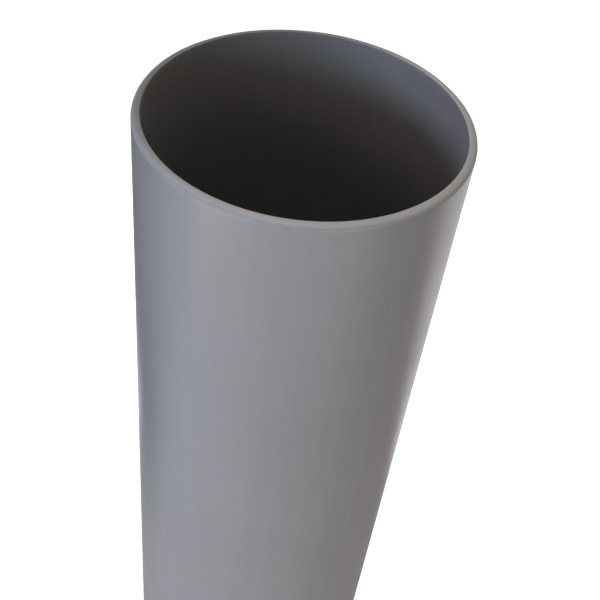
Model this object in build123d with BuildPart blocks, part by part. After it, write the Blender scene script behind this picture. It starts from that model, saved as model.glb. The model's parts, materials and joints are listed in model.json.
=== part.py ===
"""Grey PVC-U drain pipe with plain ends, standing on one of them.

The real pipe is one extrusion: a thin round wall of even thickness, sawn square to
length, with the sharp edges of both saw cuts rubbed off.  It is one solid here too.
Millimetres, +Z up along the bore, origin at the centre of the lower cut.
"""

from build123d import *

import os

# Driving dimensions
outer_diameter = 125.0
wall_thickness = 3.2
pipe_length = 1000.0
outer_edge_round = 1.0
bore_edge_round = 0.3

# Sizes that follow from them
outer_radius = outer_diameter / 2
bore_radius = outer_radius - wall_thickness

# The extruded wall, sawn square at both ends
with BuildPart() as pipe:
    with BuildSketch(Plane.XY) as wall_section:
        Circle(outer_radius)
        Circle(bore_radius, mode=Mode.SUBTRACT)
    extrude(amount=pipe_length)

    # Each cut leaves a sharp edge in the bore, the smallest circles, and one on the outside, the largest
    fillet(pipe.edges().filter_by(GeomType.CIRCLE).group_by(SortBy.RADIUS)[0], bore_edge_round)
    fillet(pipe.edges().filter_by(GeomType.CIRCLE).group_by(SortBy.RADIUS)[-1], outer_edge_round)

pipe.part.label = "pipe"

os.makedirs("parts", exist_ok=True)
export_step(pipe.part, "parts/pipe.step")
print(f"pipe: {pipe.part.volume / 1e6:.4f} litres of wall, {pipe.part.bounding_box().size}")
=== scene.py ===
import json
import math

import bpy
import numpy as np
from mathutils import Matrix, Vector


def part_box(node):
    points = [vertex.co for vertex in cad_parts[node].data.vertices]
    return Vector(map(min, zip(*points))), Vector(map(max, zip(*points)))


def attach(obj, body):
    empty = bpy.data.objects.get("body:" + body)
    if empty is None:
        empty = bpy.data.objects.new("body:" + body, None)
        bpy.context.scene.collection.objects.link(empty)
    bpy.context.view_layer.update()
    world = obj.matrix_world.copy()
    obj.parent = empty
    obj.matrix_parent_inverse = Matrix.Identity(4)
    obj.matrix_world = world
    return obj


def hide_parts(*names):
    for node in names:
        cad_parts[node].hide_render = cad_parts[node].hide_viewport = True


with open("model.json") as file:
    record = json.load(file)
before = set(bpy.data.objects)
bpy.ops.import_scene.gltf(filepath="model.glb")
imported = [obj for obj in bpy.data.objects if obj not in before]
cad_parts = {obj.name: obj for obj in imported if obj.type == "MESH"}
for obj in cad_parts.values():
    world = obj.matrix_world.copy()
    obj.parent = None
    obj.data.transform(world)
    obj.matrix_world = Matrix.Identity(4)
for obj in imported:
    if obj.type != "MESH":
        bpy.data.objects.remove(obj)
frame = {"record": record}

scene = bpy.context.scene
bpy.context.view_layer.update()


# The pipe
# One length of grey PVC-U drain pipe.  The wall is extruded in one and drawn through a cooled sleeve,
# which leaves a satin skin with faint lines along it.  Both ends are sawn square and their edges rubbed off.
mounts = {mount["name"]: mount for mount in frame["record"]["mounts"]}
outer_radius = mounts["upper_spigot"]["dims"]["r_mm"] / 1000
bore_radius = mounts["bore"]["dims"]["r_mm"] / 1000
pipe_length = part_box("pipe")[1].z

# The rubbed edges: how far the outer one falls and reaches in, the bore's round, and how uneven both are
outer_edge_drop = 0.0022
outer_edge_reach = 0.0026
bore_edge_round = 0.0003
uneven_share = 0.15
outer_waves = (2, 5, 11)
bore_waves = (3, 7, 13)
upper_wave_start = 0.4
lower_wave_start = 2.9

# Cells of the mesh: round the pipe, along half of the wall, over each edge and across the sawn face
steps_around = 360
wall_rows = 26
round_rows = 10
face_rows = 5
row_crowding = 2.5


def rubbed(turn, waves, wave_start):
    """How much of an edge is rubbed off at each angle, as by hand.

    It is all of the edge, less a share that goes up and down with the mean of some sines.
    """
    ripple = sum(np.sin(wave * turn + wave_start * wave) for wave in waves) / len(waves)
    return 1 - uneven_share * (0.5 + 0.5 * ripple)


def upper_half(turn, wave_start):
    """Radius and height of the wall's section at each angle: up the outside, over the end, down the bore.

    A straight wall runs from mid-length to a rubbed edge, with rows that crowd towards it by a power law.
    The outer edge is a quarter ellipse and the bore's edge a quarter circle.  The sawn face joins them.
    """
    outer_rubbed = rubbed(turn, outer_waves, wave_start)
    reach = outer_edge_reach * outer_rubbed
    drop = outer_edge_drop * outer_rubbed
    bore_round = bore_edge_round * rubbed(turn, bore_waves, wave_start)
    along = 1 - np.linspace(1, 0, wall_rows + 1)[:, None] ** row_crowding
    quarter = np.linspace(0, math.pi / 2, round_rows, endpoint=False)[:, None]
    across = np.linspace(0, 1, face_rows, endpoint=False)[:, None]
    level = np.zeros((1, len(turn)))
    middle = pipe_length / 2
    face_start = outer_radius - reach
    face_end = bore_radius + bore_round

    radius = [
        outer_radius + 0 * along[:-1] + level,
        outer_radius - reach * (1 - np.cos(quarter)),
        face_start + (face_end - face_start) * across,
        bore_radius + bore_round * (1 - np.sin(quarter)),
        bore_radius + 0 * along + level,
    ]
    height = [
        middle + (middle - drop) * along[:-1],
        pipe_length - drop * (1 - np.sin(quarter)),
        pipe_length + 0 * across + level,
        pipe_length - bore_round * (1 - np.cos(quarter)),
        middle + (middle - bore_round) * along[::-1],
    ]
    return np.vstack(radius), np.vstack(height)


def pipe_grid():
    """Points of the wall: the section's upper half, then its lower half, carried round the axis.

    The lower half is made like the upper one, with its own uneven edges, and mirrored in mid-length.
    The two rows at mid-length belong to both halves and are kept once.  The turn starts at the back.
    """
    turn = math.pi / 2 + np.linspace(0, 2 * math.pi, steps_around, endpoint=False)
    upper_radius, upper_height = upper_half(turn, upper_wave_start)
    lower_radius, lower_height = upper_half(turn, lower_wave_start)
    radius = np.vstack([upper_radius, lower_radius[-2:0:-1]])
    height = np.vstack([upper_height, pipe_length - lower_height[-2:0:-1]])
    return np.stack([radius * np.cos(turn), radius * np.sin(turn), height], axis=-1)


def ring_corners(rows, columns):
    """Row and column of each cell's four corners, on a grid that closes both ways.

    They turn left as seen from outside: one step round the pipe, one step on along the section, and back.
    """
    row, column = np.meshgrid(np.arange(rows), np.arange(columns), indexing="ij")
    corner_row = np.stack([row, row, row + 1, row + 1], axis=-1).reshape(-1, 4)
    corner_column = np.stack([column, column + 1, column + 1, column], axis=-1).reshape(-1, 4)
    return corner_row, corner_column


points = pipe_grid()
rows = len(points)
corner_row, corner_column = ring_corners(rows, steps_around)
faces = (corner_row % rows) * steps_around + corner_column % steps_around

# Each cell belongs to the outside, the upper end, the bore or the lower end, in the order of its row
end_rows = 2 * round_rows + face_rows
first_row = np.cumsum([wall_rows, end_rows, 2 * wall_rows, end_rows])
cell_row = corner_row[:, 0]
on_upper_end = (cell_row >= first_row[0]) & (cell_row < first_row[1])
in_bore = (cell_row >= first_row[1]) & (cell_row < first_row[2])
on_lower_end = (cell_row >= first_row[2]) & (cell_row < first_row[3])

# Strips of the flat map, each from its left to its right
outside_strip = (0.0, 0.58)
bore_strip = (0.59, 0.90)
upper_end_strip = (0.91, 0.95)
lower_end_strip = (0.96, 1.0)


def unrolled(strip, across, along):
    """Places on the flat map: one share crosses a strip from its left to its right, the other runs up it."""
    left, right = strip
    return np.stack([left + (right - left) * across, along], axis=-1)


corner_points = points[corner_row % rows, corner_column % steps_around]
share_around = corner_column / steps_around
share_along = corner_points[..., 2] / pipe_length
from_axis = np.hypot(corner_points[..., 0], corner_points[..., 1])
share_across = (outer_radius - from_axis) / (outer_radius - bore_radius)
flat_map = unrolled(outside_strip, share_around, share_along)
flat_map[in_bore] = unrolled(bore_strip, share_around, share_along)[in_bore]
flat_map[on_upper_end] = unrolled(upper_end_strip, share_across, share_around)[on_upper_end]
flat_map[on_lower_end] = unrolled(lower_end_strip, share_across, share_around)[on_lower_end]

pipe_mesh = bpy.data.meshes.new("pipe_wall")
pipe_mesh.from_pydata(points.reshape(-1, 3).tolist(), [], faces.tolist())
pipe_mesh.uv_layers.new(name="OFBake").data.foreach_set("uv", flat_map.astype(np.float32).ravel())
pipe_mesh.polygons.foreach_set("use_smooth", np.ones(len(faces), bool))
pipe_mesh.update()
pipe_piece = bpy.data.objects.new("pipe_wall", pipe_mesh)
scene.collection.objects.link(pipe_piece)
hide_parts("pipe")
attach(pipe_piece, "root")


def linear(red, green, blue):
    """A colour written as screen values from 0 to 255, in the linear light that shaders take.

    It undoes the screen's standard curve: a power law, with a straight line for the darkest values.
    """
    screen = np.array([red, green, blue]) / 255
    bright = ((screen + 0.055) / 1.055) ** 2.4
    return (*np.where(screen <= 0.04045, screen / 12.92, bright).tolist(), 1.0)


def shader_node(tree, kind, sockets, **settings):
    """A node with its settings made and its inputs filled by name.

    Another node's socket is linked to the input, and a plain value is set on it.
    """
    made = tree.nodes.new("ShaderNode" + kind)
    for name, value in settings.items():
        setattr(made, name, value)
    for name, value in sockets.items():
        if isinstance(value, bpy.types.NodeSocket):
            tree.links.new(value, made.inputs[name])
        else:
            made.inputs[name].default_value = value
    return made


def reckoned(tree, operation, *values):
    """The result of one sum on some values, each a number or another node's socket."""
    return shader_node(tree, "Math", dict(enumerate(values)), operation=operation).outputs[0]


def mean(tree, *shares):
    """The mean of some shares: their sum over their number."""
    total = shares[0]
    for share in shares[1:]:
        total = reckoned(tree, "ADD", total, share)
    return reckoned(tree, "DIVIDE", total, len(shares))


def two_tone(tree, share, low, high, dark, light):
    """A colour that goes from dark to light as the share goes from low to high."""
    ramp = shader_node(tree, "ValToRGB", {"Fac": share})
    ramp.color_ramp.elements[0].position = low
    ramp.color_ramp.elements[0].color = dark
    ramp.color_ramp.elements[1].position = high
    ramp.color_ramp.elements[1].color = light
    return ramp.outputs["Color"]


def spread(tree, share, low, high):
    """A value that goes from low to high as a noise goes over the middle of its range, 0.3 to 0.7."""
    sockets = {"Value": share, "From Min": 0.3, "From Max": 0.7, "To Min": low, "To Max": high}
    return shader_node(tree, "MapRange", sockets).outputs["Result"]


def eased(tree, value, start, end, low, high):
    """A value that goes from low to high along an S curve as another goes from start to end."""
    sockets = {"Value": value, "From Min": start, "From Max": end, "To Min": low, "To Max": high}
    return shader_node(tree, "MapRange", sockets, interpolation_type="SMOOTHSTEP").outputs["Result"]


# The skin, and the sawn ends: how deep their pale tone goes, and where matt begins to go over into satin
# and ends.  To the back left the pale tone fades out as painted shade; it starts and is full at two radii.
skin_tones = (linear(131, 132, 135), linear(137, 138, 141))
skin_roughness = (0.30, 0.37)
sawn_tones = (linear(180, 186, 193), linear(189, 195, 202))
sawn_roughness = (0.80, 0.95)
sawn_depth = 0.001
matt_depth = 0.0003
skin_depth = 0.0022
# Painted shade: the way to the back left, along which the ends' pale tone fades out
shade_way = (-0.8, 0.6, 0.0)
unshaded_start = 0.85
unshaded_full = -0.35
line_stretch = (1, 1, 0.012)
stroke_bearing = math.radians(24)
line_relief = 0.000012
grain_relief = 0.000006
stroke_relief = 0.00001


def grey_pvc():
    """Grey PVC: the satin skin of the drawn wall and, close to each end, the paler face that a saw leaves.

    Noise drawn out along the pipe makes the sleeve's lines, slow noise clouds the grey and fine noise is
    the grain.  The saw's strokes are even waves across the end, bent a little, over a mottled grey.
    Depth is measured from the nearer end.  The pale tone fades with it, and to the back left as painted
    shade.
    The matt finish of the rubbed edge goes over into the satin skin along an S curve.
    """
    material = bpy.data.materials.new("grey_pvc")
    material.use_nodes = True
    tree = material.node_tree
    shader = tree.nodes["Principled BSDF"]
    shader.inputs["IOR"].default_value = 1.53
    place = shader_node(tree, "TexCoord", {}).outputs["Object"]

    height = shader_node(tree, "SeparateXYZ", {"Vector": place}).outputs["Z"]
    below_top = reckoned(tree, "SUBTRACT", pipe_length, height)
    depth = reckoned(tree, "MINIMUM", height, below_top)
    sawn_range = {"Value": depth, "From Min": sawn_depth, "From Max": 0.0}
    sawn = shader_node(tree, "MapRange", sawn_range).outputs["Result"]
    # Painted shade: the ends' pale tone fades out towards the back left, so that side of each end is darker
    along_way = {0: place, 1: shade_way}
    toward_shade = shader_node(tree, "VectorMath", along_way, operation="DOT_PRODUCT").outputs["Value"]
    unshaded = eased(tree, toward_shade, unshaded_start * outer_radius, unshaded_full * outer_radius, 0.0, 1.0)
    pale_share_with_shade = reckoned(tree, "MULTIPLY", sawn, unshaded)
    matt = eased(tree, depth, skin_depth, matt_depth, 0.0, 1.0)

    drawn = shader_node(tree, "Mapping", {"Vector": place, "Scale": line_stretch}).outputs["Vector"]
    line_look = {"Vector": drawn, "Scale": 480, "Detail": 3, "Roughness": 0.6}
    lines = shader_node(tree, "TexNoise", line_look).outputs["Fac"]
    bands = shader_node(tree, "TexNoise", {"Vector": drawn, "Scale": 70, "Detail": 2}).outputs["Fac"]
    cloud = shader_node(tree, "TexNoise", {"Vector": place, "Scale": 26, "Detail": 4}).outputs["Fac"]
    grain = shader_node(tree, "TexNoise", {"Vector": place, "Scale": 2400, "Detail": 2}).outputs["Fac"]
    skin_share = mean(tree, lines, bands, cloud)
    skin_colour = two_tone(tree, skin_share, 0.35, 0.65, *skin_tones)

    stroke_turn = {"Vector": place, "Rotation": (0, 0, stroke_bearing)}
    stroke_way = shader_node(tree, "Mapping", stroke_turn).outputs["Vector"]
    stroke_look = {"Vector": stroke_way, "Scale": 260, "Distortion": 1.6, "Detail": 2, "Detail Scale": 1.5}
    strokes = shader_node(tree, "TexWave", stroke_look).outputs["Fac"]
    mottle = shader_node(tree, "TexNoise", {"Vector": place, "Scale": 900, "Detail": 3}).outputs["Fac"]
    sawn_share = mean(tree, strokes, mottle)
    sawn_colour = two_tone(tree, sawn_share, 0.2, 0.8, *sawn_tones)

    # The sawn tone shows near the ends, less where the painted shade fades it out
    colour_mix = {"Fac": pale_share_with_shade, "Color1": skin_colour, "Color2": sawn_colour}
    colour = shader_node(tree, "MixRGB", colour_mix).outputs["Color"]
    tree.links.new(colour, shader.inputs["Base Color"])
    satin = spread(tree, cloud, *skin_roughness)
    rough = spread(tree, mottle, *sawn_roughness)
    sheen = shader_node(tree, "Mix", {"Factor": matt, "A": satin, "B": rough}).outputs["Result"]
    tree.links.new(sheen, shader.inputs["Roughness"])

    line_bump = {"Height": lines, "Distance": line_relief}
    relief = shader_node(tree, "Bump", line_bump).outputs["Normal"]
    grain_bump = {"Height": grain, "Distance": grain_relief, "Normal": relief}
    relief = shader_node(tree, "Bump", grain_bump).outputs["Normal"]
    stroke_bump = {"Height": sawn_share, "Distance": stroke_relief, "Strength": sawn, "Normal": relief}
    relief = shader_node(tree, "Bump", stroke_bump).outputs["Normal"]
    tree.links.new(relief, shader.inputs["Normal"])
    return material


pipe_mesh.materials.append(grey_pvc())


# The floor
# A plain pale floor.  What its light leaves short of white is added where the camera sees it, less of it
# close to the pipe, so that the pipe's shadow stays.  The satin wall mirrors it white too, but for a grey
# strip under the pipe.
floor_side = 14.0
near_lift = 0.55
far_lift = 1.0
near_reach = 0.15
far_reach = 1.0
strip_front = -1.1
strip_back = 0.515
strip_softness = 0.06
strip_lift = 0.95
floor_corners = np.array([[-1, -1, 0], [1, -1, 0], [1, 1, 0], [-1, 1, 0]]) * floor_side / 2
floor_mesh = bpy.data.meshes.new("floor")
floor_mesh.from_pydata(floor_corners.tolist(), [], [[0, 1, 2, 3]])
floor = bpy.data.objects.new("floor", floor_mesh)
scene.collection.objects.link(floor)

floor_material = bpy.data.materials.new("pale_floor")
floor_material.use_nodes = True
floor_tree = floor_material.node_tree
floor_shader = floor_tree.nodes["Principled BSDF"]
floor_shader.inputs["Base Color"].default_value = (0.8, 0.8, 0.8, 1)
floor_shader.inputs["Roughness"].default_value = 1.0
floor_shader.inputs["Specular IOR Level"].default_value = 0.0
floor_shader.inputs["Emission Color"].default_value = (1, 1, 1, 1)
floor_ray = shader_node(floor_tree, "LightPath", {}).outputs
floor_place = shader_node(floor_tree, "TexCoord", {}).outputs["Object"]

from_pipe = shader_node(floor_tree, "VectorMath", {0: floor_place}, operation="LENGTH").outputs["Value"]
white_lift = eased(floor_tree, from_pipe, near_reach, far_reach, near_lift, far_lift)
seen_floor = reckoned(floor_tree, "MAXIMUM", floor_ray["Is Camera Ray"], floor_ray["Is Transmission Ray"])
seen_glow = reckoned(floor_tree, "MULTIPLY", seen_floor, white_lift)

strip_middle = (strip_front + strip_back) / 2
strip_inner = (strip_back - strip_front) / 2 - strip_softness
strip_outer = (strip_back - strip_front) / 2 + strip_softness
floor_back = shader_node(floor_tree, "SeparateXYZ", {"Vector": floor_place}).outputs["Y"]
off_middle = reckoned(floor_tree, "ABSOLUTE", reckoned(floor_tree, "SUBTRACT", floor_back, strip_middle))
off_strip = eased(floor_tree, off_middle, strip_inner, strip_outer, 0.0, strip_lift)
floor_glow = reckoned(floor_tree, "MULTIPLY_ADD", floor_ray["Is Glossy Ray"], off_strip, seen_glow)
floor_tree.links.new(floor_glow, floor_shader.inputs["Emission Strength"])
floor_mesh.materials.append(floor_material)


# The dark card
# A black card held beside the pipe at the back left.  It shows only in the satin wall, whose left edge it
# darkens.
card_aside = -0.35
card_front = 0.02
card_back = 1.6
card_bottom = 0.31
card_top = 0.95
card_corners = [(card_aside, card_front, card_bottom), (card_aside, card_back, card_bottom)]
card_corners += [(card_aside, card_back, card_top), (card_aside, card_front, card_top)]
card_mesh = bpy.data.meshes.new("dark_card")
card_mesh.from_pydata(card_corners, [], [[0, 1, 2, 3]])
card = bpy.data.objects.new("dark_card", card_mesh)
scene.collection.objects.link(card)
card.visible_camera = False
card.visible_diffuse = False
card.visible_shadow = False
card_material = bpy.data.materials.new("black_card")
card_material.use_nodes = True
card_shader = card_material.node_tree.nodes["Principled BSDF"]
card_shader.inputs["Base Color"].default_value = (0.01, 0.01, 0.01, 1)
card_shader.inputs["Roughness"].default_value = 1.0
card_shader.inputs["Specular IOR Level"].default_value = 0.0
card_mesh.materials.append(card_material)


# The light
# Soft flat lamps round the pipe.  The cool key at the front left is in four parts: above the rim, further
# left, below the rim, and a dimmer one on top.  A low lamp on the left and a warm one at the front right
# fill in, one hangs overhead, and one behind lights the back.
lamp_distance = 1.3


def soft_lamp(name, place, aim, width, height, light):
    """A flat lamp that faces along an aim.  Its light is what it shows, where 1 is white.

    Its power is that light times pi and the lamp's area.
    """
    data = bpy.data.lights.new(name, "AREA")
    data.shape = "RECTANGLE"
    data.size = width
    data.size_y = height
    data.color = light
    data.energy = math.pi * width * height
    lamp = bpy.data.objects.new(name, data)
    lamp.location = place
    lamp.rotation_euler = Vector(aim).to_track_quat("-Z", "Y").to_euler()
    lamp.visible_camera = False
    scene.collection.objects.link(lamp)


def soft_panel(name, bearing, width, bottom, top, light):
    """An upright lamp that faces the pipe's axis, all of them equally far from it.

    Its bearing is turned in degrees from the camera's side to the right.
    """
    turn = math.radians(bearing)
    outward = Vector((math.sin(turn), -math.cos(turn), 0))
    place = lamp_distance * outward + Vector((0, 0, (bottom + top) / 2))
    soft_lamp(name, place, -outward, width, top - bottom, light)


soft_panel("cool_key", bearing=-38, width=1.14, bottom=1.12, top=1.3, light=(4.25, 6.23, 7.59))
soft_panel("key_side", bearing=-75, width=0.57, bottom=1.12, top=1.3, light=(7.65, 6.31, 9.52))
soft_panel("key_lower", bearing=-35, width=1.14, bottom=0.8, top=1.0, light=(4.22, 5.46, 6.67))
soft_panel("key_upper", bearing=-38, width=1.2, bottom=1.3, top=1.8, light=(0.9, 0.78, 0.75))
soft_panel("low_left", bearing=-50, width=0.57, bottom=0.1, top=0.6, light=(4.7, 4.35, 3.95))
soft_panel("warm_fill", bearing=33, width=0.57, bottom=0.6, top=1.0, light=(7.25, 6.3, 6.04))
soft_panel("back_fill", bearing=180, width=0.6, bottom=0.1, top=0.95, light=(4.0, 4.0, 4.0))
soft_lamp("overhead", (0, 0, 2.4), (0, 0, -1), width=0.8, height=0.8, light=(4.3, 3.65, 3.05))

# The sky is a grey band over the horizon for the pipe, and white where the camera or a mirror shows it
sky_light = (0.341, 0.295, 0.251, 1)
sky_start = math.sin(math.radians(20))
sky_end = math.sin(math.radians(40))
world = bpy.data.worlds.new("studio")
world.use_nodes = True
scene.world = world
sky_tree = world.node_tree
backdrop = sky_tree.nodes["Background"]
sky_ray = shader_node(sky_tree, "LightPath", {}).outputs
sky_way = shader_node(sky_tree, "TexCoord", {}).outputs["Generated"]
sky_height = shader_node(sky_tree, "SeparateXYZ", {"Vector": sky_way}).outputs["Z"]
sky_share = eased(sky_tree, sky_height, sky_start, sky_end, 1.0, 0.0)
sky_colour = two_tone(sky_tree, sky_share, 0.0, 1.0, (0, 0, 0, 1), sky_light)
seen_sky = reckoned(sky_tree, "MAXIMUM", sky_ray["Is Camera Ray"], sky_ray["Is Transmission Ray"])
white_sky = reckoned(sky_tree, "MAXIMUM", seen_sky, sky_ray["Is Glossy Ray"])
sky_mix = {"Fac": white_sky, "Color1": sky_colour, "Color2": (1, 1, 1, 1)}
shown_sky = shader_node(sky_tree, "MixRGB", sky_mix).outputs["Color"]
sky_tree.links.new(shown_sky, backdrop.inputs["Color"])
backdrop.inputs["Strength"].default_value = 1.0


# The camera
# It looks down into the open end from in front, close by, and leans a little.  Its place and lens were
# fitted to the edges of the rim and the wall.
picture_side = 600
focal_pixels = 963.4
look_down = math.radians(44.083)
lean = math.radians(7.93)
camera_aside = 0.1094 * outer_radius
camera_back = 4.7202 * outer_radius
camera_above_rim = 3.096 * outer_radius

camera_data = bpy.data.cameras.new("camera")
camera_data.sensor_width = 36.0
camera_data.lens = camera_data.sensor_width * focal_pixels / picture_side
camera_data.clip_start = 0.01
camera = bpy.data.objects.new("camera", camera_data)
scene.collection.objects.link(camera)
level_right = Vector((1, 0, 0))
ahead = Vector((0, math.cos(look_down), -math.sin(look_down)))
level_up = Vector((0, math.sin(look_down), math.cos(look_down)))
right = math.cos(lean) * level_right + math.sin(lean) * level_up
up = math.cos(lean) * level_up - math.sin(lean) * level_right
camera_place = Matrix((right, up, -ahead)).transposed().to_4x4()
camera_place.translation = Vector((camera_aside, -camera_back, pipe_length + camera_above_rim))
camera.matrix_world = camera_place
scene.camera = camera


scene.view_settings.view_transform = "Standard"
